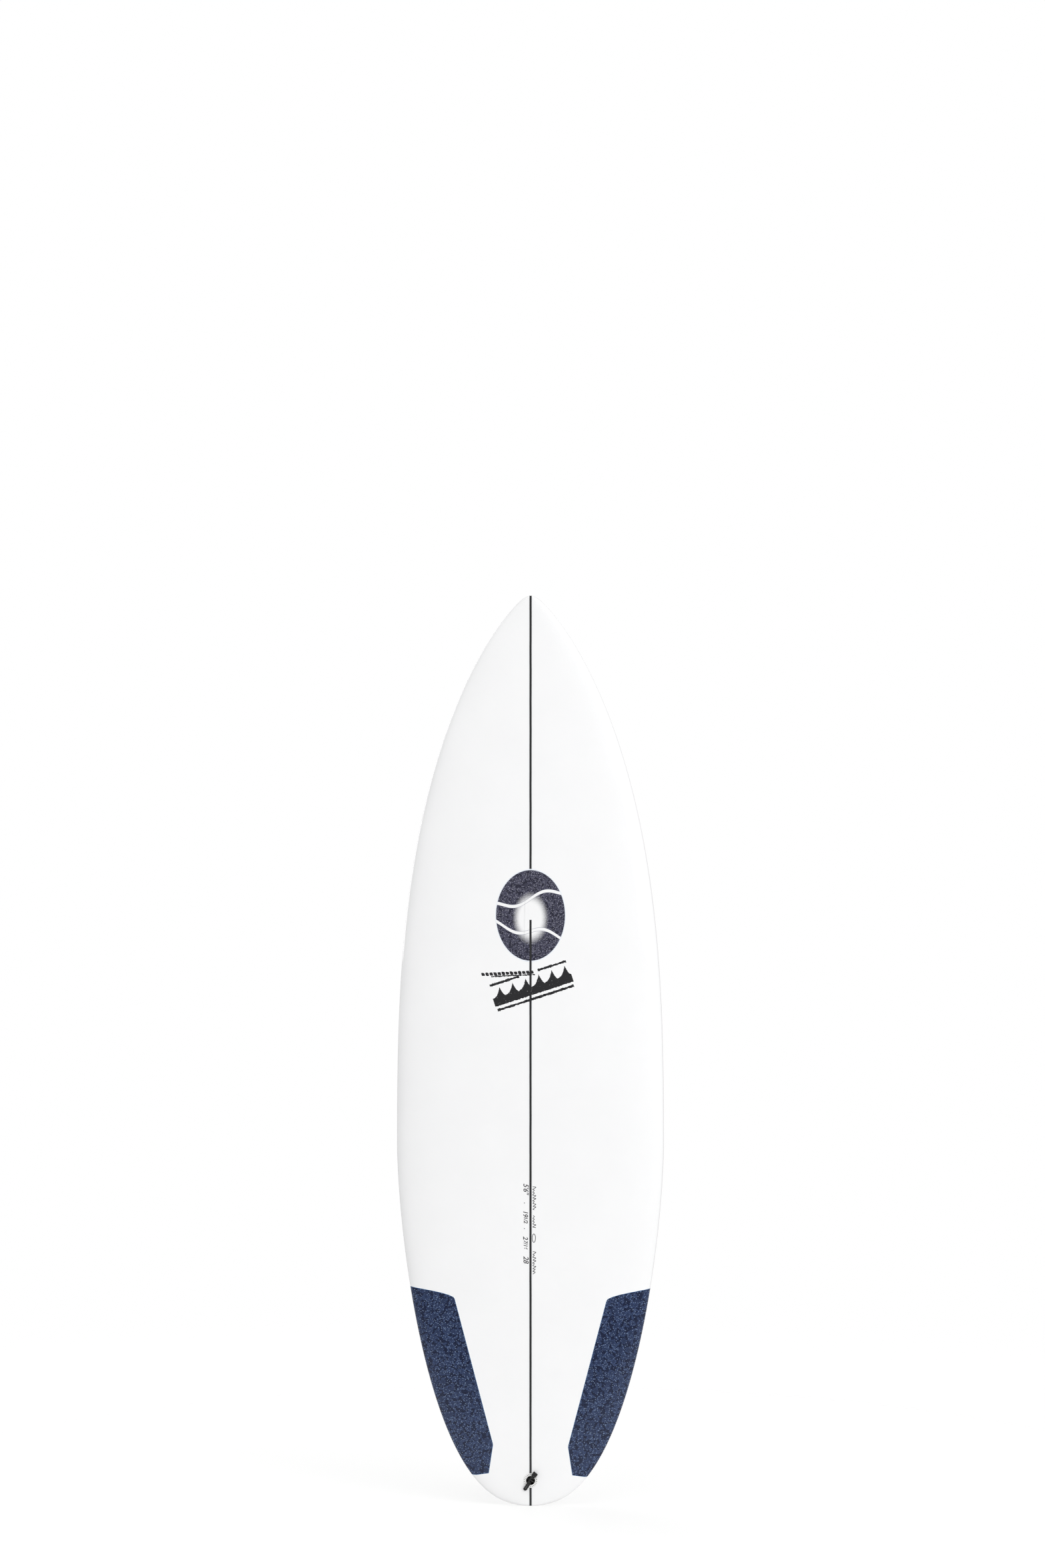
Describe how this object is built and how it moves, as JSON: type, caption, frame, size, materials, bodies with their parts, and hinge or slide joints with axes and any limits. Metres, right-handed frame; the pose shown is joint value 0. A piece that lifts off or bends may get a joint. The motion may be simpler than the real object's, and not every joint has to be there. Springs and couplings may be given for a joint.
{
  "type": "surfboard",
  "caption": "Shortboard with a foam core on a stringer, glassed skins with printed inlays, removable fins in boxes, and a leash plug with its string.",
  "frame": {"origin": "tail end of the stringer, at the level of the flattest part of the bottom, where an upright rack holds the tail", "axes": "+Z from tail to nose, -Y out of the deck, +Y out of the bottom towards the fins, X across the board"},
  "size_m": [0.4952, 0.2162, 1.6764],
  "materials": {
    "foam": "dense polyurethane foam",
    "stringer": "black-dyed thin wood",
    "glue": "cured glue line",
    "white_glass": "gloss resin over glass cloth",
    "printed_inlay": "navy floral cloth under gloss resin",
    "white_plastic": "moulded plastic",
    "clear_resin": "set resin",
    "steel": "stainless",
    "black_cord": "braided cord",
    "fin_composite": "moulded glass and resin"
  },
  "bodies": {
    "board": {"foam_left": "foam", "foam_right": "foam", "stringer": "stringer", "glue_line_left": "glue", "glue_line_right": "glue", "deck_glass": "white_glass", "bottom_glass": "white_glass", "tail_patch_left": "printed_inlay", "tail_patch_right": "printed_inlay", "deck_emblem": "printed_inlay", "leash_plug_cup": "white_plastic", "leash_plug_pin": "steel", "leash_plug_resin": "clear_resin", "leash_string": "black_cord", "leash_knot": "black_cord", "fin_box_left": "white_plastic", "fin_box_centre": "white_plastic", "fin_box_right": "white_plastic", "fin_box_resin_left": "clear_resin", "fin_box_resin_centre": "clear_resin", "fin_box_resin_right": "clear_resin"},
    "fin_left": {"fin_left": "fin_composite"},
    "fin_centre": {"fin_centre": "fin_composite"},
    "fin_right": {"fin_right": "fin_composite"},
    "fin_screw_left": {"fin_screw_left": "steel"},
    "fin_screw_centre": {"fin_screw_centre": "steel"},
    "fin_screw_right": {"fin_screw_right": "steel"},
    "leash_string_end": {"leash_string_end": "black_cord"}
  },
  "joints": [
    {"name": "fin_left_pull", "type": "slide", "parent": "board", "child": "fin_left", "axis": [-0.0196, 0.9966, -0.0797], "range_m": [0, 0.018]},
    {"name": "fin_screw_left_turn", "type": "hinge", "parent": "board", "child": "fin_screw_left", "pos_m": [-0.15579, -0.01746, 0.36153], "axis": [0.2395, 0.9667, -0.0905], "range_deg": [0, 1080]},
    {"name": "fin_centre_pull", "type": "slide", "parent": "board", "child": "fin_centre", "axis": [0, 0.9944, -0.1054], "range_m": [0, 0.018]},
    {"name": "fin_screw_centre_turn", "type": "hinge", "parent": "board", "child": "fin_screw_centre", "pos_m": [0.00771, -0.03473, 0.17092], "axis": [0.2588, 0.9605, -0.1018], "range_deg": [0, 1080]},
    {"name": "fin_right_pull", "type": "slide", "parent": "board", "child": "fin_right", "axis": [0.0196, 0.9966, -0.0797], "range_m": [0, 0.018]},
    {"name": "fin_screw_right_turn", "type": "hinge", "parent": "board", "child": "fin_screw_right", "pos_m": [0.15579, -0.01746, 0.36153], "axis": [-0.2395, 0.9667, -0.0905], "range_deg": [0, 1080]},
    {"name": "leash_string_end_lift", "type": "hinge", "parent": "board", "child": "leash_string_end", "pos_m": [-0.00607, -0.07694, 0.0377], "axis": [-0.8387, 0.0046, 0.5446], "range_deg": [0, 90]}
  ]
}
